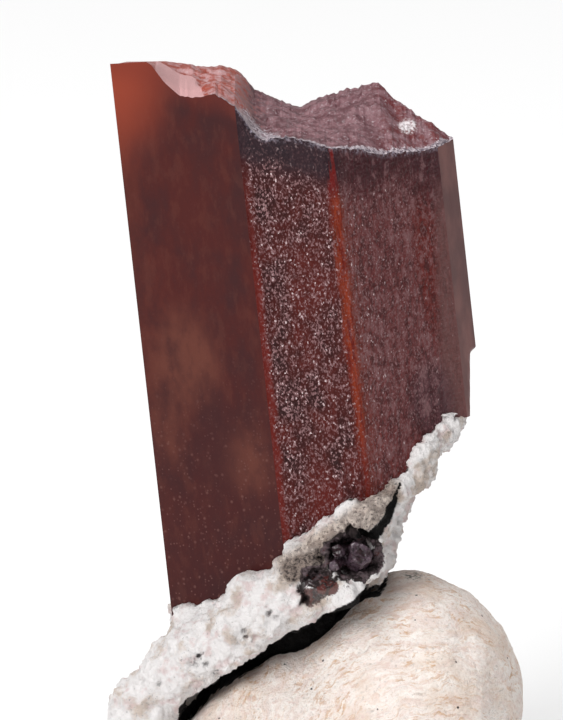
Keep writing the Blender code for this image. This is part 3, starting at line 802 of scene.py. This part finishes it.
def crustFinish():
    look = {
        "white": tone(250, 246, 245), "beige": tone(214, 198, 186), "pink": tone(228, 204, 202),
        "grey": tone(140, 130, 129), "dark": tone(66, 52, 50), "band": tone(154, 138, 128),
        "darkGritAndPitShade": tone(52, 42, 42), "red": tone(96, 42, 36), "black": tone(8, 5, 5),
        "violet": tone(112, 96, 100), "umber": tone(94, 78, 72),
        "roughness": 0.85, "specular": 0.25,
    }
    finish = Finish("sugary white rhyolite", look["roughness"], look["specular"])
    patches = finish.grain(1.2, detail=4, rough=0.6)
    tints = finish.grain(0.7, detail=3)
    fine = finish.grain(0.15, detail=4, rough=0.75)
    coarse = finish.grain(0.4, detail=3, rough=0.6)
    colour = finish.blend(finish.ramp(patches, 0.5, 0.68), look["white"], look["beige"])
    colour = finish.blend(finish.ramp(tints, 0.52, 0.7, 0.0, 0.7), colour, look["pink"])
    greyer = finish.ramp(patches, 0.35, 0.65, 0.38, 0.46)
    shade = finish.minus(greyer, fine)
    colour = finish.blend(finish.ramp(shade, 0.0, 0.12, 0.0, 0.65), colour, look["grey"])
    specks = finish.times(finish.ramp(fine, 0.4, 0.3), finish.ramp(coarse, 0.45, 0.3))
    colour = finish.blend(finish.times(specks, 0.8), colour, look["dark"])
    banded = finish.blend(finish.ramp(coarse, 0.4, 0.6), look["band"], look["beige"])
    banded = finish.blend(finish.ramp(fine, 0.5, 0.38), banded, look["umber"])
    colour = finish.blend(finish.times(finish.mark("grey"), 0.9), colour, banded)
    ragged = finish.ramp(coarse, 0.3, 0.7, -0.2, 0.2)
    ragged = finish.plus(ragged, finish.ramp(fine, 0.3, 0.7, -0.2, 0.2))
    pebbles = finish.blend(finish.ramp(fine, 0.4, 0.58), look["darkGritAndPitShade"], look["band"])
    gravel = finish.plus(finish.mark("gravel"), ragged)
    colour = finish.blend(finish.ramp(gravel, 0.3, 0.7, 0.0, 0.85), colour, pebbles)
    cave = finish.plus(finish.mark("cave"), ragged)
    inner = finish.blend(finish.ramp(coarse, 0.42, 0.58), look["darkGritAndPitShade"], look["violet"])
    inner = finish.blend(finish.ramp(coarse, 0.6, 0.68, 0.0, 0.8), inner, look["red"])
    # black specks: painted shadow in the pocket's holes
    inner = finish.blend(finish.ramp(fine, 0.44, 0.34), inner, look["black"])
    inner = finish.blend(finish.ramp(fine, 0.58, 0.68, 0.0, 0.7), inner, look["grey"])
    colour = finish.blend(finish.ramp(cave, 0.3, 0.6), colour, inner)
    reddish = finish.blend(finish.ramp(coarse, 0.42, 0.55), look["darkGritAndPitShade"], look["red"])
    reddish = finish.blend(finish.ramp(fine, 0.52, 0.66, 0.0, 0.8), reddish, look["grey"])
    reds = finish.plus(finish.mark("red"), ragged)
    colour = finish.blend(finish.ramp(reds, 0.4, 0.7, 0.0, 0.9), colour, reddish)
    # painted shade in the pits
    pitShade = finish.plus(finish.mark("pitShade"), finish.ramp(fine, 0.3, 0.7, 0.15, -0.15))
    colour = finish.blend(finish.ramp(pitShade, 0.15, 0.7, 0.0, 0.9), colour, look["darkGritAndPitShade"])
    # painted shadow: black near the stone, under the crevice's roof and in the crack
    black = finish.plus(finish.mark("black"), finish.ramp(fine, 0.3, 0.7, -0.15, 0.15))
    colour = finish.blend(finish.ramp(black, 0.3, 0.7), colour, look["black"])
    finish.bump(fine, 0.2)
    return finish.paint(colour)


stone = {
    "voxel": 0.13,
    "softenTimes": 8,
    "bandMiddle": (6.0, 0.5),   # X and Z of the middle that the flow bands go round
    "bandStep": 0.42,
    "bandDeep": 0.55,           # how fast they change from front to back
    "bandSlant": 0.28,          # and along X and Z
    "bandRise": 0.03,
    "waves": 0.06,
    "grains": 0.035,
    # how far the stone rises under the crevice, and the line of it in X and height as the camera sees it
    "swell": 0.45,
    "swelling": ((-1.4, 6.2), (0.2, 6.8), (1.6, 7.6), (2.3, 8.6)),
    "creviceEdge": (            # the front edge of the crevice's painted shadow, measured the same way
        (-5.9, 3.5), (-5.4, 4.05), (-4.2, 4.85), (-2.3, 6.0), (-1.5, 6.5), (-0.5, 6.9),
        (0.8, 7.7), (1.5, 8.2), (2.2, 9.2), (2.6, 9.8), (3.1, 10.2), (3.6, 10.5),
    ),
    "contactShadowReach": (0.4, 0.3),    # the same for the stone's skin near the crust
}


def seenHeight(spot):  # height in the camera's picture, in millimetres
    return spot.z * math.cos(studio["elevation"]) + spot.y * math.sin(studio["elevation"])


def bandSpot(spot):  # a point as the flow bands see it, so that their relief follows their paint
    away = math.hypot(spot.x - stone["bandMiddle"][0], spot.z - stone["bandMiddle"][1])
    away += 0.35 * noise.noise(spot * 0.8)
    along = (spot.x + spot.z) * stone["bandSlant"]
    return Vector((away / stone["bandStep"], spot.y * stone["bandDeep"], along))


def makeStone():
    shape = copyOfNode("host_stone", stone["voxel"])
    crustSkin = nodeSurface("matrix_crust")
    soften(shape, stone["softenTimes"])
    shape.normal_update()
    moves = []
    for vert in shape.verts:
        spot = vert.co
        waves = noise.fractal(spot * 0.6, 0.8, 2.0, 2)
        bands = noise.noise(bandSpot(spot)) + 0.6 * noise.noise(bandSpot(spot) * 2.3)
        grains = noise.noise(spot * 4.0) + 0.7 * noise.noise(spot * 8.0)
        moves.append(stone["waves"] * waves + stone["bandRise"] * bands + stone["grains"] * grains)
    for vert, move in zip(shape.verts, moves):
        seen = Vector((vert.co.x, 0, seenHeight(vert.co)))
        swell = stone["swell"] * smoothStep(1.3, 0.1, lineDistance(seen, stone["swelling"]))
        vert.co += vert.normal * move
        vert.co.z += swell * smoothStep(-1.2, -2.2, vert.co.y)
    bmesh.ops.recalc_face_normals(shape, faces=shape.faces)
    shape.normal_update()
    # painted shadow: the stone behind the crevice's front edge, as the camera sees it, and near the crust is
    # painted black
    black = shape.verts.layers.float.new("black")
    for vert in shape.verts:
        near = crustSkin.find_nearest(vert.co, 2.2)[3]
        over = seenHeight(vert.co) - readProfile(stone["creviceEdge"], vert.co.x)
        ragged = 0.12 * noise.noise(vert.co * 3.0)
        inside = smoothStep(-0.06, 0.14, over + ragged) * smoothStep(1.0, -0.5, vert.co.y)
        inside *= smoothStep(3.1, 2.3, vert.co.x)
        vert[black] = max(inside, smoothStep(*stone["contactShadowReach"], near)) if near is not None else 0.0
    for face in shape.faces:
        face.smooth = True
    piece = newPiece("stoneBody", shape)
    piece.data.materials.append(stoneFinish())
    showPiece(piece, "host_stone")


def stoneFinish():
    look = {
        "cream": tone(246, 238, 232), "pink": tone(226, 204, 196), "orange": tone(208, 170, 136),
        "grey": tone(176, 166, 160), "black": tone(44, 38, 36), "tan": tone(220, 196, 176),
        "crevice": tone(12, 8, 7), "smudge": tone(96, 96, 86), "roughness": 0.8, "specular": 0.25,
    }
    finish = Finish("beige rhyolite", look["roughness"], look["specular"])
    middleX, middleZ = stone["bandMiddle"]
    x = finish.minus(finish.axis("X"), middleX)
    z = finish.minus(finish.axis("Z"), middleZ)
    away = finish.node("ShaderNodeVectorMath", operation="LENGTH")
    flat = finish.node("ShaderNodeCombineXYZ", {"X": x, "Y": z})
    finish.feed(away.inputs[0], flat.outputs["Vector"])
    along = finish.times(finish.plus(x, z), stone["bandSlant"])
    across = finish.times(finish.axis("Y"), stone["bandDeep"])
    waves = finish.ramp(finish.grain(1.5, detail=3), 0.3, 0.7, -0.2, 0.2)
    rings = finish.sums("DIVIDE", finish.plus(away.outputs["Value"], waves), stone["bandStep"])
    bands = finish.node("ShaderNodeCombineXYZ", {"X": rings, "Y": across, "Z": along}).outputs["Vector"]
    wide = finish.grain(0.7, detail=4, rough=0.7, vector=bands)
    thin = finish.grain(0.28, detail=4, rough=0.7, vector=bands)
    stains = finish.grain(1.8, detail=3)
    fine = finish.grain(0.15, detail=4, rough=0.7)
    colour = finish.blend(finish.ramp(wide, 0.4, 0.65, 0.0, 0.6), look["cream"], look["pink"])
    warm = finish.ramp(finish.grain(2.4, detail=3), 0.48, 0.68, 0.0, 0.45)
    colour = finish.blend(warm, colour, look["tan"])
    mottle = finish.grain(0.3, detail=4, rough=0.75, stretch=(1.6, 1, 1))
    thin = finish.plus(thin, finish.ramp(mottle, 0.3, 0.7, -0.1, 0.1))
    rusty = finish.times(finish.ramp(thin, 0.48, 0.68), finish.ramp(stains, 0.42, 0.6, 0.3, 1.0))
    colour = finish.blend(rusty, colour, look["orange"])
    colour = finish.blend(finish.ramp(mottle, 0.54, 0.66, 0.0, 0.7), colour, look["pink"])
    colour = finish.blend(finish.ramp(mottle, 0.45, 0.33, 0.0, 0.5), colour, look["tan"])
    bluish = finish.times(finish.ramp(thin, 0.42, 0.3), finish.ramp(stains, 0.55, 0.4))
    colour = finish.blend(finish.times(bluish, 0.5), colour, look["grey"])
    colour = finish.blend(finish.ramp(fine, 0.44, 0.28, 0.0, 0.6), colour, look["grey"])
    spots = finish.cells(0.6, output="Distance")
    chosen = finish.lots(0.6)
    specks = finish.times(finish.ramp(spots, 0.13, 0.06), finish.ramp(chosen, 0.7, 0.75))
    colour = finish.blend(specks, colour, look["black"])
    # painted shadow in the crevice
    colour = finish.blend(finish.ramp(finish.mark("black"), 0.25, 0.75), colour, look["crevice"])
    smudge = finish.blob((4.7, -0.6, 10.7), (1.2, 1.4, 0.5))
    smudge = finish.times(smudge, finish.ramp(fine, 0.35, 0.6, 1.6, 0.4))
    colour = finish.blend(finish.ramp(smudge, 0.1, 0.5, 0.0, 0.85), colour, look["smudge"])
    relief = finish.plus(fine, finish.times(thin, 0.8))
    finish.bump(relief, 0.09)
    return finish.paint(colour)


pocket = {
    "voxel": 0.055,
    "rough": 0.05,           # heights of its crystals' relief
    "dents": 0.12,
}


def makePocketCrystals():
    shape = copyOfNode("pocket_crystals", pocket["voxel"])
    shape.normal_update()
    moves = []
    for vert in shape.verts:
        rough = noise.noise(vert.co * 3.0) + 0.6 * noise.noise(vert.co * 7.0)
        dented = smoothStep(0.2, 0.5, noise.noise(vert.co * 1.7))
        moves.append(pocket["rough"] * rough - pocket["dents"] * dented)
    for vert, move in zip(shape.verts, moves):
        vert.co += vert.normal * move
    for face in shape.faces:
        face.smooth = False
    bmesh.ops.recalc_face_normals(shape, faces=shape.faces)
    piece = newPiece("pocketLining", shape)
    piece.data.materials.append(pocketFinish())
    showPiece(piece, "pocket_crystals")


def pocketFinish():
    look = {
        "red": tone(34, 14, 18), "violet": tone(74, 58, 68), "black": tone(16, 6, 8),
        "frost": tone(146, 128, 134), "roughness": 0.3, "specular": 0.4,
    }
    finish = Finish("dark red topaz", look["roughness"], look["specular"])
    clumps = finish.grain(0.5, detail=4, rough=0.65)
    grains = finish.grain(0.12, detail=3, rough=0.7)
    colour = finish.blend(finish.ramp(clumps, 0.4, 0.6), look["red"], look["violet"])
    colour = finish.blend(finish.ramp(grains, 0.45, 0.36), colour, look["black"])
    colour = finish.blend(finish.ramp(grains, 0.6, 0.7, 0.0, 0.6), colour, look["frost"])
    return finish.paint(colour)


studio = {
    "aim": Vector((-1.37, -3.0, 20.88)) * mm,
    "elevation": math.radians(12.0),
    "distance": 1.0,
    "frameHeight": 32.4 * mm,
    "world": 0.3,
    "floorSize": 2.0,
    "floor": tone(250, 250, 250),
    "lampsAim": Vector((0, 0, 0.015)),
    "lamps": (                # name, place, size and power of each, in metres and watts
        ("overhead softbox", (0.0, 0.05, 0.6), 0.5, 2.4),
        ("front left softbox", (-0.3, -0.5, 0.33), 0.35, 3.2),
    ),
}


def makeCamera():
    camera = bpy.data.objects.new("camera", bpy.data.cameras.new("camera"))
    bpy.context.scene.collection.objects.link(camera)
    towards = Vector((0, math.cos(studio["elevation"]), -math.sin(studio["elevation"])))
    camera.location = studio["aim"] - towards * studio["distance"]
    camera.rotation_euler = towards.to_track_quat("-Z", "Y").to_euler()
    camera.data.sensor_fit = "VERTICAL"
    camera.data.lens = camera.data.sensor_height * studio["distance"] / studio["frameHeight"]
    camera.data.clip_start = 0.05
    camera.data.clip_end = 10
    bpy.context.scene.camera = camera


def addSoftLight(name, place, size, power):
    lamp = bpy.data.lights.new(name, "AREA")
    lamp.shape = "DISK"
    lamp.size = size
    lamp.energy = power
    light = bpy.data.objects.new(name, lamp)
    light.location = place
    light.rotation_euler = (studio["lampsAim"] - Vector(place)).to_track_quat("-Z", "Y").to_euler()
    bpy.context.scene.collection.objects.link(light)


def makeStudio():
    shape = bmesh.new()
    bmesh.ops.create_grid(shape, x_segments=1, y_segments=1, size=studio["floorSize"])
    mesh = bpy.data.meshes.new("floor")
    shape.to_mesh(mesh)
    shape.free()
    floor = bpy.data.objects.new("floor", mesh)
    bpy.context.scene.collection.objects.link(floor)
    pale = Finish("pale floor", roughness=0.9, specular=0.0)
    floor.data.materials.append(pale.paint(studio["floor"]))
    world = bpy.data.worlds.new("soft surround")
    world.use_nodes = True
    world.node_tree.nodes["Background"].inputs["Color"].default_value = (1, 1, 1, 1)
    world.node_tree.nodes["Background"].inputs["Strength"].default_value = studio["world"]
    bpy.context.scene.world = world
    for lamp in studio["lamps"]:
        addSoftLight(*lamp)
    bpy.context.scene.view_settings.view_transform = "Standard"


makeCamera()
makeStudio()
print("studio set")
makeCrystal()
print("crystal made")
makeCrust()
print("crust made")
makePocketCrystals()
print("pocket crystals made")
makeStone()
print("stone made")
